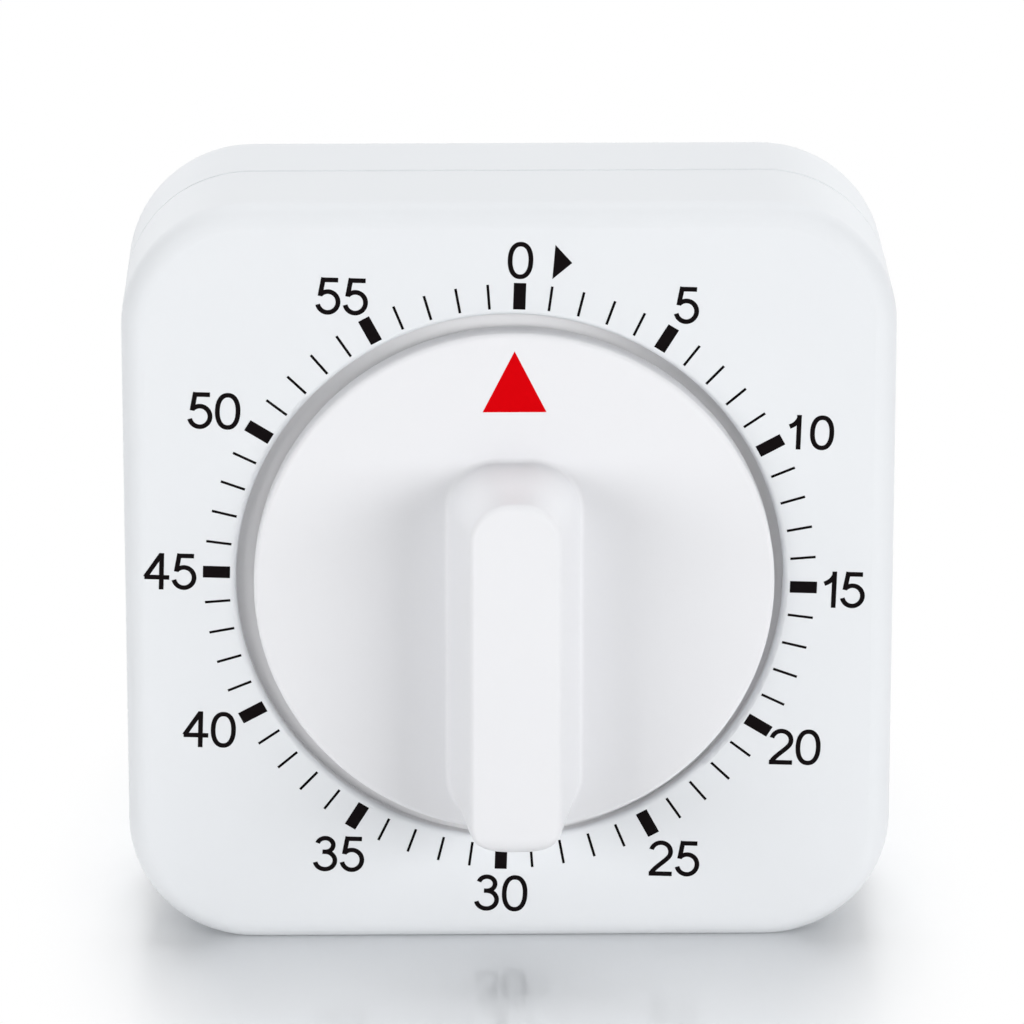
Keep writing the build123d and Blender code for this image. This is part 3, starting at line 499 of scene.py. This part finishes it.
# The knob as rings from the bore outwards, over the rim, across the dial, up the bar and in to its spine. A
# ring of the bar lies between its foot and crest outlines by its height, and moves along the normals in the
# rounds. The bar's lower end falls away as a round about the dial's centre.
def knobRings(dial, rows):
    foot, normal = barOutline(dial, "foot")
    crest = barOutline(dial, "crest")[0]
    ahead, tall, crestRound = dial["ahead"], dial["barHeight"], dial["crestRound"]
    flatRadius = dial["radius"] - dial["edgeRound"]
    endRadius = dial["radius"] - dial["endInset"]
    slope = np.maximum(((foot - crest) * normal).sum(axis=1), 0) / tall
    lean = np.arctan(slope)
    room = (flatRadius - np.hypot(*foot.T)) / dial["footRoom"]
    footRound = np.clip(room, dial["footRoundLeast"], dial["footRound"])
    reach = footRound * (1 - np.sin(lean)) / np.cos(lean)
    start = foot + normal * reach[:, None]
    startRadius = np.hypot(*start.T)
    turn = np.arctan2(start[:, 1], start[:, 0])

    def circleRing(radius, height):
        radius, height = (np.broadcast_to(value, turn.shape) for value in (radius, height))
        return np.stack([radius * np.cos(turn), radius * np.sin(turn), height], axis=-1)

    def dialRing(radius):
        return circleRing(radius, ahead - roundFall(radius, dial["radius"], dial["edgeRound"]))

    def barFlat(height, inward):
        return foot + (crest - foot) * (height / tall)[:, None] - normal * inward[:, None]

    def endFall(flat):
        return roundFall(np.hypot(*flat.T), endRadius, dial["endRound"])

    hidden = [
        (0, dial["boreEnd"]),
        (dial["boreRadius"], dial["boreEnd"]),
        (dial["boreRadius"], dial["hubBack"]),
        (dial["hubRadius"], dial["hubBack"]),
        (dial["hubRadius"], dial["webBack"]),
        (dial["skirtInner"], dial["webBack"]),
        (dial["skirtInner"], dial["back"]),
        (dial["radius"], dial["back"]),
        (dial["radius"], ahead - dial["edgeRound"] - dial["edgeWall"]),
    ]
    rings = [circleRing(radius, height) for radius, height in hidden]
    for rise in np.radians(np.linspace(90, 0, rows["rim"])):
        rings.append(dialRing(np.maximum(flatRadius + dial["edgeRound"] * np.sin(rise), startRadius)))
    outer = np.maximum(flatRadius, startRadius)
    for share in rows["web"]:
        rings.append(dialRing(outer + (startRadius - outer) * share))
    rimFall = roundFall(startRadius, dial["radius"], dial["edgeRound"])
    for share in np.linspace(0, 1, rows["foot"]):
        rise = -np.pi / 2 + (np.pi / 2 - lean) * share
        height = footRound * (1 + np.sin(rise))
        flat = barFlat(height, footRound * np.cos(rise) - reach - height * slope)
        rings.append(np.column_stack([flat, ahead + height - rimFall * (1 - share)]))
    flush = np.zeros_like(slope)
    wallFoot = footRound * (1 - np.sin(lean))
    wallTop = tall - crestRound * (1 - np.sin(lean))
    wallTop = wallTop - endFall(barFlat(wallTop, flush))
    for share in rows["wall"]:
        height = wallFoot + (wallTop - wallFoot) * share
        rings.append(np.column_stack([barFlat(height, flush), ahead + height]))
    middle = crestRound * (1 - np.sin(lean)) / np.cos(lean)
    for share in np.linspace(0, 1, rows["crest"]):
        rise = np.pi - lean - (np.pi / 2 - lean) * share
        height = tall - crestRound * (1 - np.sin(rise))
        flat = barFlat(height, middle + crestRound * np.cos(rise) + (tall - height) * slope)
        rings.append(np.column_stack([flat, ahead + height - endFall(flat)]))
    rim = rings[-1][:, :2]
    spread = dial["crestWidth"] / 2
    spine = np.column_stack([flush, np.clip(rim[:, 1], spread - endRadius, dial["crestTop"] - spread)])
    for share in np.linspace(0, 1, rows["top"])[1:]:
        flat = rim + (spine - rim) * share
        rings.append(np.column_stack([flat, ahead + tall - endFall(flat)]))
    return np.stack(rings)


rings = knobRings(dialSettings, knobRows)
knob = fromFace(rings[..., 0] + dialSettings["offset"], rings[..., 1], rings[..., 2])
dialPiece = makePiece("dial", [knob], "dial", plainFinish["dial_plastic"], ("dial_knob",))
print("dial:", len(dialPiece.data.polygons), "faces")


# The hammer's spring

# Millimetres in the frame: places as (X, Z), depths along Y.
springSettings = {
    "centre": (-17.191, 21.963),
    "tip": (-9.368, 31.018),
    "inner": 1.51,
    "thick": 0.25,
    "front": -1.1,
    "back": -0.3,
    "ringSteps": 72,
    "leafSteps": 32,
    "bendFrom": 0.2,  # share of the way from the ring's centre to the tip where the leaf starts to bend
}


# A grid of flat points (X, Z), four to a row, as a bar between two depths along Y.
def springBar(flat, spring):
    depth = np.array([spring["front"], spring["front"], spring["back"], spring["back"]])
    return np.stack([flat[..., 0], np.broadcast_to(depth, flat.shape[:2]), flat[..., 1]], axis=-1) * mm


# A leaf spring clipped round a pillar: a ring, and a straight leaf from it to the hammer's tail, both of one
# oblong section carried along a line.
def springGrids(spring):
    centre, tip = np.array(spring["centre"]), np.array(spring["tip"])
    inner, thick = spring["inner"], spring["thick"]
    edge = np.array([0.0, 1.0, 1.0, 0.0])[None, :, None] * thick
    turn = np.linspace(0, 2 * np.pi, spring["ringSteps"] + 1)
    outward = np.stack([np.cos(turn), np.sin(turn)], axis=-1)[:, None, :]
    ring = springBar(centre + (inner + edge) * outward, spring)
    along = (tip - centre) / np.linalg.norm(tip - centre)
    side = np.array([along[1], -along[0]])
    line = np.linspace(centre + along * (inner + thick / 2), tip, spring["leafSteps"] + 1)[:, None, :]
    return [ring, closeEnds(springBar(line + side * (edge - thick / 2), spring))]


hammerSpring = makePiece(
    "hammerSpring", springGrids(springSettings), None, plainFinish["spring_steel"],
    ("hammer_spring",),
)
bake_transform(hammerSpring)
print("hammer spring:", len(hammerSpring.data.polygons), "faces")


# The print

# Millimetres on the face from the dial's axis, and degrees.
printSettings = {
    "lift": 0.02,
    "sink": 0.01,
    "layer": 0.0006,  # each stroke of a digit lies this much over the one before
    "turn": -1.82,
    "shift": (0.05, -0.04),
    "majorInner": 24.74,
    "majorOuter": 27.13,
    "majorWidth": 1.08,
    "minorInner": 24.80,
    "minorOuter": 27.04,
    "minorWidth": 0.23,
    "minutes": 60,
    "majorEvery": 5,
    "digitHeight": 3.36,
    "stroke": 0.42,
    "digitGap": 0.18,
}
inkSection = {"shoulder": 0.6, "edge": 0.06}  # share of the lift at the edge, share of the width to full lift
inkSteps = {"curve": 18, "bowl": 36, "oval": 72}
triangleRows = ((0.0,), (0.5,), (0.999,))  # shares of the way from the base to the tip
ovalPower = 2.25  # between an ellipse, 2, and a box

# Width of each digit, gaps and sizes of the numerals that differ, and the middle of each numeral.
digitWidth = {"0": 2.23, "1": 1.22, "2": 2.24, "3": 2.20, "4": 2.36, "5": 2.22}
ownGap = {"10": 0.86, "15": 0.36}
ownScale = {"10": 0.94, "30": 1.03}
numeralPlace = {
    "0": (0.95, 29.11), "5": (15.49, 24.99), "10": (26.47, 13.38), "15": (29.57, -1.14),
    "20": (25.36, -15.79), "25": (14.70, -26.27), "30": (-0.78, -29.46), "35": (-15.25, -25.68),
    "40": (-26.71, -13.88), "45": (-29.97, 0.85), "50": (-25.91, 15.57), "55": (-14.62, 25.92),
}
arrowCorners = ((3.73, 27.42), (4.00, 30.50), (5.46, 28.87))
markCorners = ((-2.77, 15.86), (2.82, 15.86), (0.03, 21.38))


# A film of ink between two edges: rows along the edges, columns up one side, over the top and down the other.
def inkBand(left, right, ahead, closed=False):
    lift, sink = printSettings["lift"], printSettings["sink"]
    shoulder, edge = inkSection["shoulder"] * lift, inkSection["edge"]
    section = np.array([[0, -sink], [0, shoulder], [edge, lift], [1 - edge, lift], [1, shoulder], [1, -sink]])
    across = left[:, None, :] + (right - left)[:, None, :] * section[None, :, :1]
    height = np.broadcast_to(ahead + section[:, 1], across.shape[:2])
    grid = fromFace(across[..., 0], across[..., 1], height)
    if closed:
        return np.concatenate([grid, grid[:1]])
    return closeEnds(grid)


# A stroke of even width along a line of points.
def inkStroke(line, width, ahead, closed=False):
    if closed:
        along = np.roll(line, -1, axis=0) - np.roll(line, 1, axis=0)
    else:
        along = np.gradient(line, axis=0)
    along = along / np.linalg.norm(along, axis=1, keepdims=True)
    side = np.stack([-along[:, 1], along[:, 0]], axis=-1) * width / 2
    return inkBand(line + side, line - side, ahead, closed)


def straight(start, end):
    return np.array([start, end])


# A cubic curve from start to end, drawn towards two control points: (1-t)^3, 3(1-t)^2 t, 3(1-t) t^2 and t^3
# of the four in turn.
def curve(start, first, second, end):
    t = np.linspace(0, 1, inkSteps["curve"] + 1)[:, None]
    weights = np.hstack([(1 - t) ** 3, 3 * (1 - t) ** 2 * t, 3 * (1 - t) * t**2, t**3])
    return weights @ np.array([start, first, second, end])


# Part of an ellipse, from one angle to another in degrees.
def bowl(centre, across, tall, start, end):
    turn = np.radians(np.linspace(start, end, inkSteps["bowl"] + 1))
    return np.stack([centre[0] + across * np.cos(turn), centre[1] + tall * np.sin(turn)], axis=-1)


# A closed oval: |x|^power + |y|^power = 1.
def oval():
    turn = np.linspace(0, 2 * np.pi, inkSteps["oval"], endpoint=False)
    shape = [np.sign(wave(turn)) * np.abs(wave(turn)) ** (2 / ovalPower) for wave in (np.cos, np.sin)]
    return np.stack(shape, axis=-1)


# The middle lines of each digit in a box from -1 to 1 both ways. A butt end runs on by half a stroke.
def digitLines(digit, butt):
    if digit == "0":
        return [oval()]
    if digit == "1":
        flag = curve((1.0, 0.93), (0.55, 0.62), (-0.1, 0.48), (-1.2, 0.36))
        return [straight((1, -1 - butt), (1, 1 + butt)), flag]
    if digit == "2":
        top = bowl((0.0, 0.42), 0.95, 0.58, 166, -22)
        slope = curve(top[-1], (0.70, -0.10), (-0.70, -0.62), (-0.90, -1.0))
        return [np.vstack([top, slope[1:]]), straight((-1.12, -1), (1.15, -1))]
    if digit == "3":
        upper = bowl((-0.05, 0.56), 0.80, 0.44, 165, -88)
        lower = bowl((-0.05, -0.44), 1.0, 0.56, 88, -168)
        return [upper, lower, straight((-0.32, 0.12), (0.05, 0.12))]
    if digit == "4":
        slope = straight((0.42, 1 + butt * 0.4), (-1.0, -0.38))
        bar, stem = straight((-1.08, -0.38), (1.18, -0.38)), straight((0.46, -1 - butt), (0.46, 1 + butt))
        return [slope, bar, stem]
    flag, neck = straight((0.92, 1), (-0.62, 1)), straight((-0.50, 1 + butt), (-0.80, 0.0))
    return [flag, neck, bowl((-0.04, -0.36), 1.0, 0.64, 138, -166)]


# A numeral's strokes, centred on its place and turned with the rest of the print.
def numeralBands(text, place):
    height, stroke = printSettings["digitHeight"], printSettings["stroke"]
    turn = math.radians(printSettings["turn"])
    spin = np.array([[math.cos(turn), math.sin(turn)], [-math.sin(turn), math.cos(turn)]])
    spin = spin * ownScale.get(text, 1.0)
    gap = ownGap.get(text, printSettings["digitGap"])
    total = sum(digitWidth[digit] for digit in text) + gap * (len(text) - 1)
    left, bands = -total / 2, []
    for digit in text:
        width = digitWidth[digit]
        scale = np.array([(width - stroke) / 2, (height - stroke) / 2])
        middle = np.array([left + width / 2, 0])
        for layer, line in enumerate(digitLines(digit, stroke / 2 / scale[1])):
            points = (line * scale + middle) @ spin + place
            bands.append(inkStroke(points, stroke, printSettings["layer"] * layer, closed=digit == "0"))
        left += width + gap
    return bands


# The ticks of some minutes as straight strokes along their rays, clockwise from the top.
def tickBands(size, minutes):
    inner, outer, width = (printSettings[size + key] for key in ("Inner", "Outer", "Width"))
    bands = []
    for minute in minutes:
        angle = math.radians(90 - 360 / printSettings["minutes"] * minute + printSettings["turn"])
        ray = np.array([math.cos(angle), math.sin(angle)])
        bands.append(inkStroke(straight(ray * inner, ray * outer) + printSettings["shift"], width, 0.0))
    return bands


# A triangle as a band whose two edges start at its base and close on its tip.
def triangleBand(corners, ahead):
    base, other, tip = (np.array(corner) for corner in corners)
    share = np.array(triangleRows)
    return inkBand(base + (tip - base) * share, other + (tip - other) * share, ahead)


majorMinutes = range(0, printSettings["minutes"], printSettings["majorEvery"])
minorMinutes = [minute for minute in range(printSettings["minutes"]) if minute not in majorMinutes]
makePiece("majorTicks", tickBands("major", majorMinutes), "case", inkBlack)
makePiece("minuteTicks", tickBands("minor", minorMinutes), "case", inkBlack)
for text, place in numeralPlace.items():
    makePiece(f"numeral{text}", numeralBands(text, np.array(place)), "case", inkBlack)
makePiece("turnArrow", [triangleBand(arrowCorners, 0.0)], "case", inkBlack)
shifted = [(right + dialSettings["offset"], up) for right, up in markCorners]
makePiece("dialMark", [triangleBand(shifted, dialSettings["ahead"])], "dial", inkRed)
print("print:", len(numeralPlace), "numerals and", printSettings["minutes"], "ticks")


# Floor, light and camera

white = (1, 1, 1, 1)


# 1 for rays from the camera and for what gloss and glass show, 0 for light that bounces on.
def seenRays(start):
    seen = start.node("ShaderNodeLightPath", outlet="Is Camera Ray")
    for outlet in ("Is Glossy Ray", "Is Transmission Ray"):
        seen = start.math("MAXIMUM", seen, start.node("ShaderNodeLightPath", outlet=outlet))
    return seen


floorSettings = {
    "half": 3.0,
    "white": (0.945, 0.966, 0.990),
    "thrown": (0.82, 0.82, 0.82),
    "glossShare": 0.18,
    "glossRough": 0.16,
    "fadeShape": (1.6, 0.8, 1.0),  # the fade comes sooner to the sides than in front
    "fadeNear": 0.042,
    "fadeFar": 0.072,
}


# A pale floor: white as it is seen, darker in the light that it throws back on the timer, with a soft sheen.
# It fades to plain white, for what is seen, with the distance from the timer.
def floorFinish(name, floor):
    material = bpy.data.materials.new(name)
    material.use_nodes = True
    tree = material.node_tree
    tree.nodes.remove(tree.nodes["Principled BSDF"])
    start = Shade(tree)
    seen = seenRays(start)
    place = start.node("ShaderNodeTexCoord", outlet="Object")
    spread = start.node("ShaderNodeVectorMath", {"operation": "MULTIPLY"}, {0: place, 1: floor["fadeShape"]})
    reach = start.node("ShaderNodeVectorMath", {"operation": "LENGTH"}, {0: spread}, "Value")
    fade = start.node(
        "ShaderNodeMapRange", {"interpolation_type": "SMOOTHSTEP"},
        {"Value": reach, "From Min": floor["fadeNear"], "From Max": floor["fadeFar"]},
    )
    colour = mixColour(start, seen, floor["thrown"], floor["white"])
    matte = start.node("ShaderNodeBsdfDiffuse", {}, {"Color": colour})
    shine = start.node("ShaderNodeBsdfGlossy", {}, {"Color": white, "Roughness": floor["glossRough"]})
    surface = start.node("ShaderNodeMixShader", {}, {0: floor["glossShare"], 1: matte, 2: shine})
    plain = start.node("ShaderNodeEmission", {}, {"Color": white, "Strength": 1.0})
    mixed = start.node("ShaderNodeMixShader", {}, {0: seen * fade, 1: surface, 2: plain})
    start.plug(tree.nodes["Material Output"].inputs["Surface"], mixed)
    return material


half = floorSettings["half"]
floorCorners = [(-half, -half, 0), (half, -half, 0), (half, half, 0), (-half, half, 0)]
floorMesh = bpy.data.meshes.new("floor")
floorMesh.from_pydata(floorCorners, [], [(0, 1, 2, 3)])
floorMesh.materials.append(floorFinish("paleFloor", floorSettings))
floor = bpy.data.objects.new("floor", floorMesh)
bpy.context.scene.collection.objects.link(floor)

skyStrength = 0.08
lampSettings = {
    "rightBox": {"place": (0.70, -0.62, 0.18), "aim": (0, 0, 0.03), "size": (0.68, 0.40), "power": 5.47},
    "leftBox": {"place": (-0.72, -0.60, 0.18), "aim": (0, 0, 0.03), "size": (0.68, 0.40), "power": 4.43},
    "backBox": {"place": (0, 1.24, 1.48), "aim": (0, -0.02, 0), "size": (0.60, 0.45), "power": 13.4},
    "highBox": {"place": (0, 0.17, 1.10), "aim": (0, 0, 0.03), "size": (0.60, 0.36), "power": 5.35},
}


# A soft box. It lights the timer but isn't mirrored in it, so that gloss shows the pale room alone.
def softBox(name, box):
    lamp = bpy.data.lights.new(name, "AREA")
    lamp.shape = "RECTANGLE"
    lamp.size, lamp.size_y = box["size"]
    lamp.energy = box["power"]
    piece = bpy.data.objects.new(name, lamp)
    piece.visible_glossy = False
    piece.location = box["place"]
    piece.rotation_mode = "QUATERNION"
    piece.rotation_quaternion = (Vector(box["aim"]) - Vector(box["place"])).to_track_quat("-Z", "Y")
    bpy.context.scene.collection.objects.link(piece)


for name, box in lampSettings.items():
    softBox(name, box)
world = bpy.data.worlds.new("studio")
bpy.context.scene.world = world
world.use_nodes = True
sky = Shade(world.node_tree)
skyInputs = world.node_tree.nodes["Background"].inputs
sky.plug(skyInputs["Color"], white)
sky.plug(skyInputs["Strength"], skyStrength + (1 - skyStrength) * seenRays(sky))
print("light from", len(lampSettings), "soft boxes")

# Degrees round and above, metres away, and millimetres from the dial's axis to the middle of the view.
cameraSettings = {
    "lens": 249.86,
    "sensor": 36.0,
    "azimuth": -0.84,
    "elevation": 17.0,
    "distance": 0.6259,
    "right": 0.207,
    "up": 6.20,
    "near": 0.01,
    "far": 20.0,
}
azimuth, elevation = (math.radians(cameraSettings[key]) for key in ("azimuth", "elevation"))
level = math.cos(elevation)
back = Vector((math.sin(azimuth) * level, -math.cos(azimuth) * level, math.sin(elevation)))
target = Vector((axisX + cameraSettings["right"] * mm, faceY, axisZ + cameraSettings["up"] * mm))
lens = bpy.data.cameras.new("camera")
lens.lens = cameraSettings["lens"]
lens.sensor_width = cameraSettings["sensor"]
lens.clip_start, lens.clip_end = cameraSettings["near"], cameraSettings["far"]
camera = bpy.data.objects.new("camera", lens)
camera.location = target + back * cameraSettings["distance"]
camera.rotation_mode = "QUATERNION"
camera.rotation_quaternion = (-back).to_track_quat("-Z", "Y")
bpy.context.scene.collection.objects.link(camera)
bpy.context.scene.camera = camera
bpy.context.scene.view_settings.view_transform = "Standard"
print("camera at", [round(value, 4) for value in camera.location])
